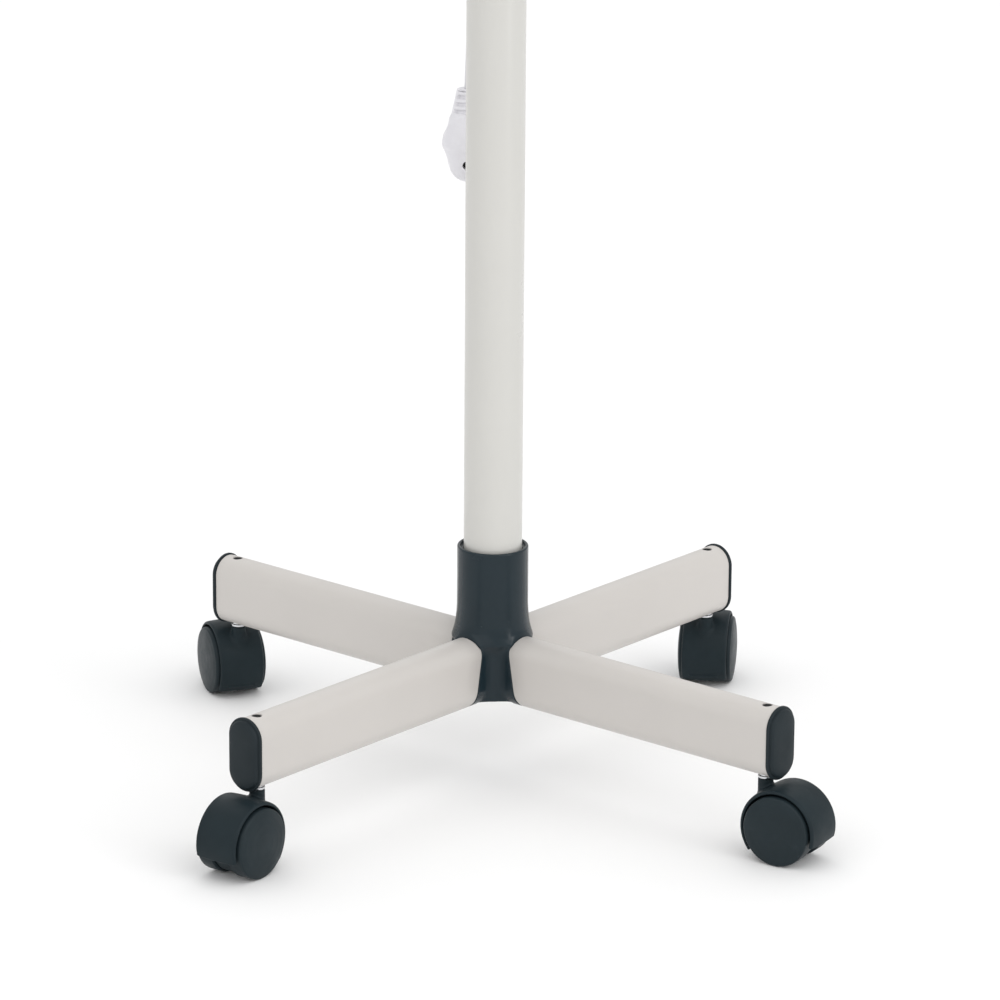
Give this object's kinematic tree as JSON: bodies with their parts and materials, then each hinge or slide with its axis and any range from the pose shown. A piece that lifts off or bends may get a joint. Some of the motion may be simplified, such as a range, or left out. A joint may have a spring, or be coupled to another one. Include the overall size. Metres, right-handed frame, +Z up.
{
  "type": "facial steamer",
  "caption": "Facial steamer on a wheeled stand: four-legged castor base, telescopic post, steam head with glass jar, tilting arm and swivel nozzle, mains lead with plug.",
  "frame": {"origin": "on the floor, on the axis of the post", "axes": "+Z up along the post; -Y is the front, where the jar, panel and nozzle face; +X is the side with the height clamp knob"},
  "size_m": [0.4255, 0.6407, 1.3655],
  "materials": {
    "stand_paint": "warm off-white powder coat, satin",
    "post_paint": "warm off-white powder coat, semi-gloss",
    "hub_plastic": "dark slate, moulded, glossy",
    "slate_plastic": "dark slate, fine texture",
    "castor_plastic": "dark slate nylon, satin",
    "chrome_plate": "bright",
    "zinc_steel": "zinc plated",
    "shell_plastic": "warm off-white, moulded",
    "tray_plastic": "dark slate",
    "fascia_plastic": "dark slate, smooth",
    "bush_plastic": "natural acetal",
    "jar_glass": "clear borosilicate",
    "lamp_glass": "clear quartz",
    "lens": "translucent green",
    "seal_rubber": "silicone grey",
    "heater_steel": "stainless",
    "board": "circuit board",
    "rocker_red": "translucent red",
    "rocker_green": "translucent green",
    "plug_plastic": "white PVC",
    "cord_pvc": "white PVC sheath",
    "pin_metal": "nickel plated",
    "tie_fabric": "hook and loop tape"
  },
  "bodies": {
    "base": {"hub_casting": "hub_plastic", "hub_bottom_plate": "slate_plastic", "post_bolt": "zinc_steel", "leg_end_caps": "slate_plastic", "castor_sockets": "bush_plastic", "castor_stems": "chrome_plate", "post_tube": "post_paint", "guide_bush": "bush_plastic", "clamp_collar": "slate_plastic", "leg_front_right": "stand_paint", "leg_front_left": "stand_paint", "leg_back_left": "stand_paint", "leg_back_right": "stand_paint"},
    "castor_front_right": {"castor_fork_front_right": "castor_plastic"},
    "wheel_front_right_left": {"castor_wheel_front_right_left": "castor_plastic"},
    "wheel_front_right_right": {"castor_wheel_front_right_right": "castor_plastic"},
    "castor_front_left": {"castor_fork_front_left": "castor_plastic"},
    "wheel_front_left_left": {"castor_wheel_front_left_left": "castor_plastic"},
    "wheel_front_left_right": {"castor_wheel_front_left_right": "castor_plastic"},
    "castor_back_left": {"castor_fork_back_left": "castor_plastic"},
    "wheel_back_left_left": {"castor_wheel_back_left_left": "castor_plastic"},
    "wheel_back_left_right": {"castor_wheel_back_left_right": "castor_plastic"},
    "castor_back_right": {"castor_fork_back_right": "castor_plastic"},
    "wheel_back_right_left": {"castor_wheel_back_right_left": "castor_plastic"},
    "wheel_back_right_right": {"castor_wheel_back_right_right": "castor_plastic"},
    "head": {"mast_tube": "chrome_plate", "mast_socket": "slate_plastic", "housing_shell": "shell_plastic", "housing_base": "tray_plastic", "housing_screws": "zinc_steel", "fascia_panel": "fascia_plastic", "indicator_lamps": "lens", "switch_housings": "slate_plastic", "timer_module": "bush_plastic", "boiler_head": "slate_plastic", "steam_duct": "bush_plastic", "jar_gasket": "seal_rubber", "heating_element": "heater_steel", "ozone_lamp": "lamp_glass", "control_board": "board", "cord_gland": "plug_plastic", "cord_upper": "cord_pvc", "cord_lower": "cord_pvc", "cord_hank": "cord_pvc", "hank_tie": "tie_fabric", "plug_body": "plug_plastic", "plug_pins": "pin_metal"},
    "clamp": {"clamp_knob": "slate_plastic"},
    "power_rocker": {"power_switch": "rocker_red"},
    "ozone_rocker": {"ozone_switch": "rocker_green"},
    "timer": {"timer_knob": "shell_plastic"},
    "jar": {"glass_jar": "jar_glass", "jar_collar": "slate_plastic", "jar_handle": "slate_plastic"},
    "turret": {"arm_turret": "slate_plastic", "arm_pivot_pins": "zinc_steel"},
    "arm": {"arm_ball": "slate_plastic", "arm_tube": "shell_plastic"},
    "nozzle": {"nozzle_head": "slate_plastic", "nozzle_grille": "chrome_plate"}
  },
  "joints": [
    {"name": "swivel_front_right", "type": "hinge", "parent": "base", "child": "castor_front_right", "pos_m": [0.16886, -0.16886, 0.045], "axis": [0, 0, 1], "continuous": true},
    {"name": "wheel_front_right_left", "type": "hinge", "parent": "castor_front_right", "child": "wheel_front_right_left", "pos_m": [0.18291, -0.17945, 0.024], "axis": [0.6018, 0.7986, 0], "continuous": true},
    {"name": "wheel_front_right_right", "type": "hinge", "parent": "castor_front_right", "child": "wheel_front_right_right", "pos_m": [0.18291, -0.17945, 0.024], "axis": [0.6018, 0.7986, 0], "continuous": true},
    {"name": "swivel_front_left", "type": "hinge", "parent": "base", "child": "castor_front_left", "pos_m": [-0.16886, -0.16886, 0.045], "axis": [0, 0, 1], "continuous": true},
    {"name": "wheel_front_left_left", "type": "hinge", "parent": "castor_front_left", "child": "wheel_front_left_left", "pos_m": [-0.18026, -0.18226, 0.024], "axis": [0.7615, -0.6481, 0], "continuous": true},
    {"name": "wheel_front_left_right", "type": "hinge", "parent": "castor_front_left", "child": "wheel_front_left_right", "pos_m": [-0.18026, -0.18226, 0.024], "axis": [0.7615, -0.6481, 0], "continuous": true},
    {"name": "swivel_back_left", "type": "hinge", "parent": "base", "child": "castor_back_left", "pos_m": [-0.16886, 0.16886, 0.045], "axis": [0, 0, 1], "continuous": true},
    {"name": "wheel_back_left_left", "type": "hinge", "parent": "castor_back_left", "child": "wheel_back_left_left", "pos_m": [-0.17356, 0.18582, 0.024], "axis": [-0.9636, -0.2672, 0], "continuous": true},
    {"name": "wheel_back_left_right", "type": "hinge", "parent": "castor_back_left", "child": "wheel_back_left_right", "pos_m": [-0.17356, 0.18582, 0.024], "axis": [-0.9636, -0.2672, 0], "continuous": true},
    {"name": "swivel_back_right", "type": "hinge", "parent": "base", "child": "castor_back_right", "pos_m": [0.16886, 0.16886, 0.045], "axis": [0, 0, 1], "continuous": true},
    {"name": "wheel_back_right_left", "type": "hinge", "parent": "castor_back_right", "child": "wheel_back_right_left", "pos_m": [0.17282, 0.18601, 0.024], "axis": [-0.9744, 0.225, 0], "continuous": true},
    {"name": "wheel_back_right_right", "type": "hinge", "parent": "castor_back_right", "child": "wheel_back_right_right", "pos_m": [0.17282, 0.18601, 0.024], "axis": [-0.9744, 0.225, 0], "continuous": true},
    {"name": "height_slide", "type": "slide", "parent": "base", "child": "head", "axis": [0, 0, 1], "range_m": [-0.12, 0.08]},
    {"name": "clamp_turn", "type": "hinge", "parent": "base", "child": "clamp", "pos_m": [0.05, 0, 0.716], "axis": [1, 0, 0], "range_deg": [0, 180]},
    {"name": "power_rocker", "type": "hinge", "parent": "head", "child": "power_rocker", "pos_m": [0.014, -0.1731, 1.066], "axis": [1, 0, 0], "range_deg": [0, 16]},
    {"name": "ozone_rocker", "type": "hinge", "parent": "head", "child": "ozone_rocker", "pos_m": [0.037, -0.1731, 1.066], "axis": [1, 0, 0], "range_deg": [0, 16]},
    {"name": "timer_turn", "type": "hinge", "parent": "head", "child": "timer", "pos_m": [-0.027, -0.18, 1.062], "axis": [0, 1, 0], "range_deg": [0, 300]},
    {"name": "jar_turn", "type": "hinge", "parent": "head", "child": "jar", "pos_m": [0, -0.1, 0.99], "axis": [0, 0, 1], "range_deg": [0, 45]},
    {"name": "arm_swivel", "type": "hinge", "parent": "head", "child": "turret", "pos_m": [0, -0.1, 1.12], "axis": [0, 0, 1], "range_deg": [-120, 120]},
    {"name": "arm_tilt", "type": "hinge", "parent": "turret", "child": "arm", "pos_m": [0, -0.1, 1.162], "axis": [1, 0, 0], "range_deg": [-38, 25]},
    {"name": "nozzle_turn", "type": "hinge", "parent": "arm", "child": "nozzle", "pos_m": [0, -0.34575, 1.33407], "axis": [0, -0.8192, 0.5736], "range_deg": [-90, 90]}
  ]
}
